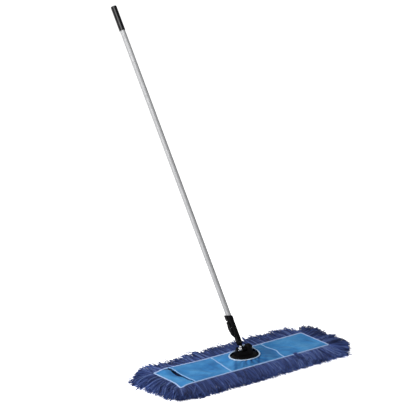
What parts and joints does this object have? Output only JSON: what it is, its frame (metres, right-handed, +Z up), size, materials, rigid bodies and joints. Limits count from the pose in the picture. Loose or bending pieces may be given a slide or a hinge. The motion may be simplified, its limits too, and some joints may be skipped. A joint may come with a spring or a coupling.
{
  "type": "dust mop",
  "caption": "Flat dust mop: long cloth pad with yarn fringe on a sprung wire frame, a friction swivel that tilts and swings, and a tube handle in a quick-release socket",
  "frame": {"origin": "on the floor, under the middle of the head's cloth pad", "axes": "X along the head, +Y to the side the handle leans to in the picture, +Z up"},
  "size_m": [0.9944, 1.0957, 1.41],
  "materials": {
    "black_plastic": "moulded black plastic, satin",
    "grip_vinyl": "glossy black vinyl",
    "tube_metal": "satin light grey metal",
    "plated_steel": "bright zinc plate",
    "black_steel": "black oxide",
    "friction_fibre": "dark pressed fibre",
    "pad_cloth": "light blue cotton twill, a little washed out",
    "binding_tape": "pale lavender woven tape",
    "yarn": "twisted cut-end cotton yarn, indigo blue"
  },
  "bodies": {
    "head": {"center_plate": "black_plastic", "clamp_plate": "black_plastic", "plate_screws": "plated_steel", "frame_wire_left": "plated_steel", "frame_wire_right": "plated_steel", "hinge_pin": "black_steel", "pin_clip": "black_steel", "friction_spring": "plated_steel", "pressure_plate": "plated_steel", "friction_washers": "friction_fibre", "barrel_cap": "black_plastic", "backing_base": "pad_cloth", "end_panel": "pad_cloth", "left_panel": "pad_cloth", "middle_panel": "pad_cloth", "right_panel": "pad_cloth", "edge_binding": "binding_tape", "opening_binding": "binding_tape", "seam_tapes": "binding_tape", "slit_hem": "binding_tape", "fringe_front": "yarn", "fringe_back": "yarn", "fringe_left": "yarn", "fringe_right": "yarn", "fringe_corners": "yarn", "yarn_pile": "yarn"},
    "swivel": {"swivel_block": "black_plastic"},
    "handle": {"yoke_bolt": "black_steel", "yoke_nut": "black_steel", "yoke_washers": "plated_steel", "handle_socket": "black_plastic", "lever_pin": "plated_steel", "lever_spring": "plated_steel", "handle_tube": "tube_metal", "tube_plug": "black_plastic", "hand_grip": "grip_vinyl"},
    "lever": {"release_lever": "black_plastic"}
  },
  "joints": [
    {"name": "handle_tilt", "type": "hinge", "parent": "head", "child": "swivel", "pos_m": [-0.007, 0, 0.079], "axis": [1, 0, 0], "range_deg": [-53, 121]},
    {"name": "handle_swing", "type": "hinge", "parent": "swivel", "child": "handle", "pos_m": [-0.0045, 0.01622, 0.10304], "axis": [0, 0.829, -0.5592], "range_deg": [-75, 75]},
    {"name": "lever_press", "type": "hinge", "parent": "handle", "child": "lever", "pos_m": [-0.0252, 0.0548, 0.16025], "axis": [0, -0.829, 0.5592], "range_deg": [0, 6], "stiffness_Nm_per_rad": 0.4, "springref_deg": -17.19, "deforming": ["lever_spring"]}
  ]
}
